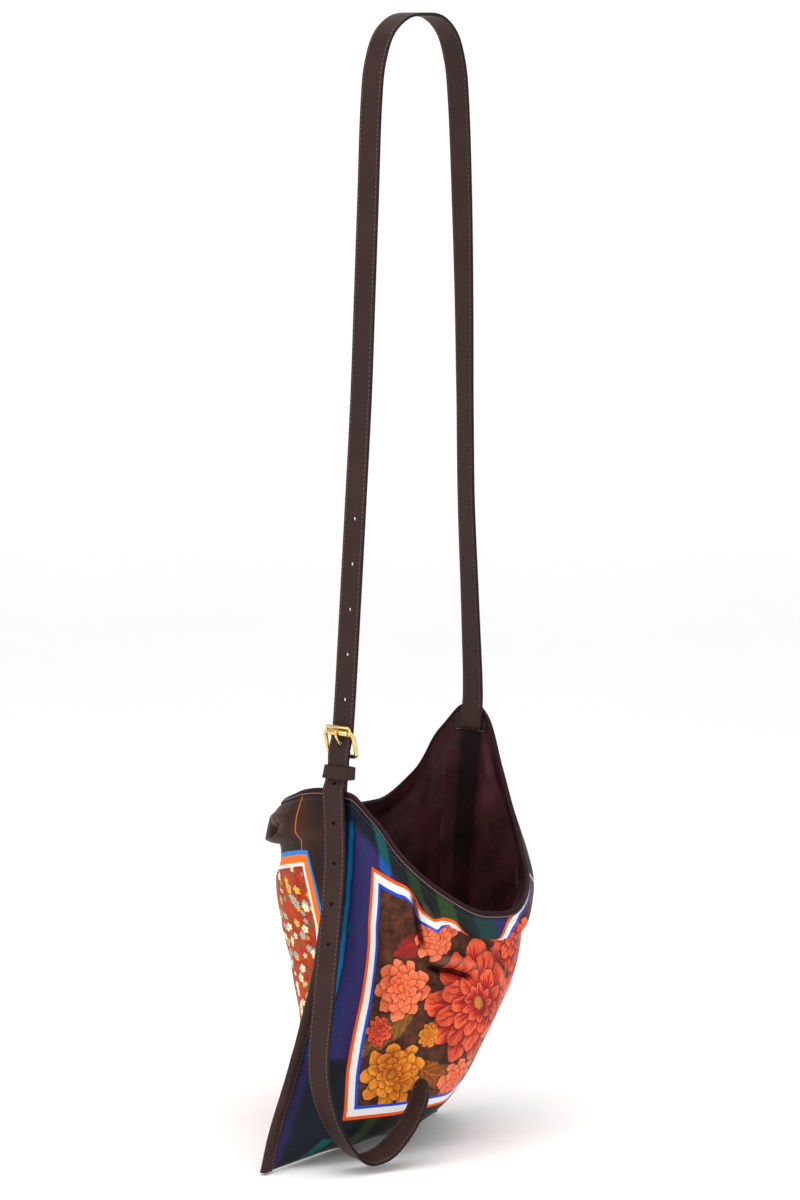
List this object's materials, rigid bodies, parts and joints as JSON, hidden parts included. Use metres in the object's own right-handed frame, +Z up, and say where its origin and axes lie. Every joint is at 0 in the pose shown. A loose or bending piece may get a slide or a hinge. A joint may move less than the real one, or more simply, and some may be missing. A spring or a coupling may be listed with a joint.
{
  "type": "shoulder bag",
  "caption": "Open cloth shoulder bag with printed panels, dark lining and leather-bound side seams, hanging by one long leather strap with a roller buckle and a curling tail.",
  "frame": {"origin": "underside of the strap at the top of its arch, where the bag hangs on a shoulder or peg", "axes": "+Z up, the front panel faces -Y, +X towards the side without the buckle"},
  "size_m": [0.2665, 0.215, 0.8525],
  "materials": {
    "front_cloth": "satin print",
    "back_cloth": "satin print",
    "lining_cloth": "satin",
    "edging": "matt",
    "leather": "smooth",
    "gold": "polished"
  },
  "bodies": {
    "root": {"front_panel": "front_cloth", "back_panel": "back_cloth", "lining": "lining_cloth", "side_binding_near": "leather", "side_binding_far": "leather", "rim_binding": "edging", "strap": "leather", "buckle_frame": "gold", "buckle_roller": "gold", "buckle_prong": "gold", "buckle_strap": "leather", "strap_keeper": "leather"}
  },
  "joints": []
}
